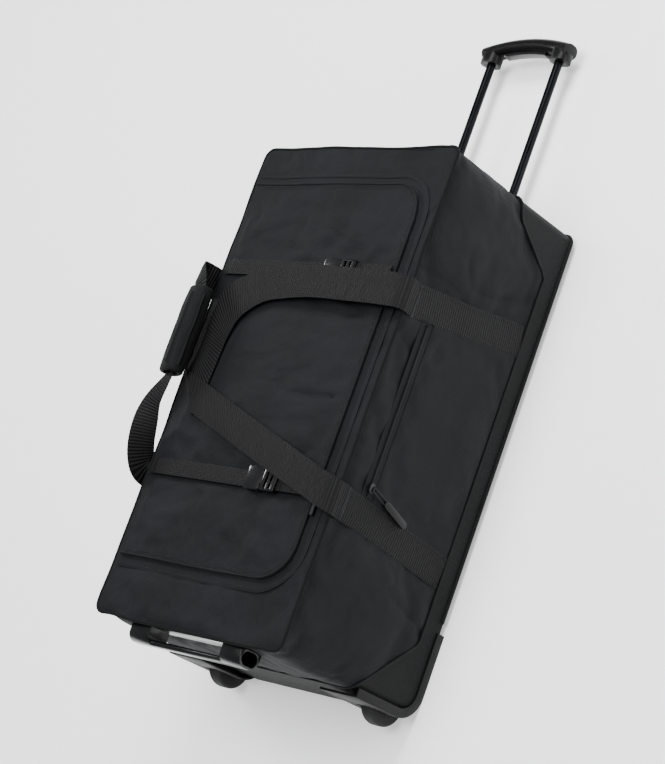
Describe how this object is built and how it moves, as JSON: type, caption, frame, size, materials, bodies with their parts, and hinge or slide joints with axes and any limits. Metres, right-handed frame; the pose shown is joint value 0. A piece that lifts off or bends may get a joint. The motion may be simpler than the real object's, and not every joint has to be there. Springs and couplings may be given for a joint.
{
  "type": "rolling duffel bag",
  "caption": "Soft rolling duffel bag with a U-shaped zip flap, two webbing haul loops with a padded wrap, side pocket, grab handle, telescoping pull handle and two corner wheels.",
  "frame": {"origin": "on the floor, at the middle of the flat underside of the centre skid rail, which is the middle of the bag's back", "axes": "the bag lies on its back: +X to its zip-pocket side, +Y to the telescoping handle's end, +Z out of the flap"},
  "size_m": [0.433, 1.12, 0.3537],
  "materials": {
    "shell_fabric": "matt coated woven polyester",
    "trim_fabric": "dense black ballistic weave",
    "webbing": "ribbed nylon webbing",
    "padded_wrap": "padded fabric",
    "zip_tape": "woven zip tape",
    "piping": "covered cord",
    "moulded_plastic": "fine moulded texture",
    "grip_plastic": "soft satin",
    "buckle_plastic": "polished acetal",
    "board_plastic": "corrugated polypropylene sheet",
    "tube_metal": "drawn and black anodised",
    "zip_metal": "black lacquered zinc",
    "steel": "plain",
    "spring_steel": "drawn wire",
    "tyre": "polyurethane tread",
    "hub": "moulded"
  },
  "bodies": {
    "bag": {"back_tray_panel": "trim_fabric", "side_panel_right": "shell_fabric", "side_panel_left": "shell_fabric", "top_end_panel": "shell_fabric", "bottom_end_panel": "shell_fabric", "front_border_panel": "shell_fabric", "front_piping": "piping", "seam_piping": "piping", "flap_zip_outer_tape": "zip_tape", "side_pocket_panel": "shell_fabric", "pocket_zip_tapes": "zip_tape", "sewn_webbing_right": "webbing", "sewn_webbing_left": "webbing", "back_board": "board_plastic", "tube_cover": "board_plastic", "outer_tubes": "tube_metal", "tube_foot_bracket": "moulded_plastic", "top_bezel": "moulded_plastic", "skid_rail_left": "moulded_plastic", "skid_rail_centre": "moulded_plastic", "skid_rail_right": "moulded_plastic", "wheel_housing_left": "moulded_plastic", "wheel_housing_right": "moulded_plastic", "wheel_axles": "steel", "wheel_bearings": "steel", "bottom_grab_handle": "moulded_plastic", "bezel_screws": "zip_metal"},
    "flap": {"flap_panel": "shell_fabric", "flap_piping": "piping", "flap_zip_inner_tape": "zip_tape", "upper_strap_anchor": "webbing", "lower_strap_anchor": "webbing", "buckle_socket_upper": "buckle_plastic", "buckle_socket_lower": "buckle_plastic"},
    "plug_upper": {"buckle_plug_upper": "buckle_plastic", "upper_strap_tail": "webbing"},
    "plug_lower": {"buckle_plug_lower": "buckle_plastic", "lower_strap_tail": "webbing"},
    "zip_slider_upper": {"flap_slider_upper": "zip_metal"},
    "zip_pull_upper": {"flap_pull_upper": "zip_metal"},
    "zip_slider_lower": {"flap_slider_lower": "zip_metal"},
    "zip_pull_lower": {"flap_pull_lower": "zip_metal"},
    "pocket_zip_slider": {"pocket_slider": "zip_metal"},
    "pocket_zip_pull": {"pocket_pull": "grip_plastic"},
    "right_haul": {"haul_loop_right": "webbing"},
    "left_haul": {"haul_loop_left": "webbing", "grip_wrap": "padded_wrap"},
    "handle": {"inner_tubes": "tube_metal", "tube_guide_bushes": "moulded_plastic", "grip_upper_shell": "grip_plastic", "grip_lower_shell": "grip_plastic", "trigger_springs": "spring_steel"},
    "trigger": {"trigger_bar": "buckle_plastic", "push_rods": "steel"},
    "pins": {"lock_pins": "steel"},
    "wheel_left": {"tyre_left": "tyre", "wheel_hub_left": "hub"},
    "wheel_right": {"tyre_right": "tyre", "wheel_hub_right": "hub"}
  },
  "joints": [
    {"name": "handle_slide", "type": "slide", "parent": "bag", "child": "handle", "axis": [0, 1, 0], "range_m": [-0.285, 0]},
    {"name": "trigger_squeeze", "type": "slide", "parent": "handle", "child": "trigger", "axis": [0, 1, 0], "range_m": [0, 0.004], "stiffness_N_per_m": 700, "deforming": ["trigger_springs"]},
    {"name": "lock_pins_retract", "type": "slide", "parent": "handle", "child": "pins", "axis": [0, 0, 1], "range_m": [0, 0.002]},
    {"name": "wheel_left_spin", "type": "hinge", "parent": "bag", "child": "wheel_left", "pos_m": [-0.165, -0.373, 0.038], "axis": [1, 0, 0], "continuous": true},
    {"name": "wheel_right_spin", "type": "hinge", "parent": "bag", "child": "wheel_right", "pos_m": [0.165, -0.373, 0.038], "axis": [1, 0, 0], "continuous": true},
    {"name": "flap_hinge", "type": "hinge", "parent": "bag", "child": "flap", "pos_m": [-0.1885, 0, 0.2993], "axis": [0, -1, 0], "range_deg": [0, 105], "deforming": ["haul_loop_right", "haul_loop_left", "grip_wrap"]},
    {"name": "right_haul_swing", "type": "hinge", "parent": "bag", "child": "right_haul", "pos_m": [0.2036, 0, 0.298], "axis": [0, 1, 0], "range_deg": [0, 225]},
    {"name": "left_haul_swing", "type": "hinge", "parent": "bag", "child": "left_haul", "pos_m": [-0.2036, 0, 0.298], "axis": [0, -1, 0], "range_deg": [0, 96]},
    {"name": "buckle_upper_release", "type": "slide", "parent": "flap", "child": "plug_upper", "axis": [1, 0, 0], "range_m": [0, 0.025]},
    {"name": "buckle_lower_release", "type": "slide", "parent": "flap", "child": "plug_lower", "axis": [1, 0, 0], "range_m": [0, 0.025]},
    {"name": "flap_zip_upper_run", "type": "slide", "parent": "bag", "child": "zip_slider_upper", "axis": [0, 1, 0], "range_m": [0, 0.385]},
    {"name": "flap_zip_lower_run", "type": "slide", "parent": "bag", "child": "zip_slider_lower", "axis": [0, -1, 0], "range_m": [0, 0.054]},
    {"name": "flap_pull_upper_swing", "type": "hinge", "parent": "zip_slider_upper", "child": "zip_pull_upper", "pos_m": [0.1752, -0.146, 0.30395], "axis": [1, 0, 0], "range_deg": [0, 25]},
    {"name": "flap_pull_lower_swing", "type": "hinge", "parent": "zip_slider_lower", "child": "zip_pull_lower", "pos_m": [0.1752, -0.166, 0.30395], "axis": [-1, 0, 0], "range_deg": [0, 60]},
    {"name": "pocket_zip_run", "type": "slide", "parent": "bag", "child": "pocket_zip_slider", "axis": [0, 1, 0], "range_m": [0, 0.23]},
    {"name": "pocket_pull_swing", "type": "hinge", "parent": "pocket_zip_slider", "child": "pocket_zip_pull", "pos_m": [0.2074, -0.119, 0.239], "axis": [1, 0, 0], "range_deg": [-30, 60]}
  ],
  "couplings": [
    {"joint": "right_haul_swing", "follows": "flap_hinge", "ratio": 2.14},
    {"joint": "left_haul_swing", "follows": "flap_hinge", "ratio": 0.9},
    {"joint": "lock_pins_retract", "follows": "trigger_squeeze", "ratio": 0.5}
  ]
}
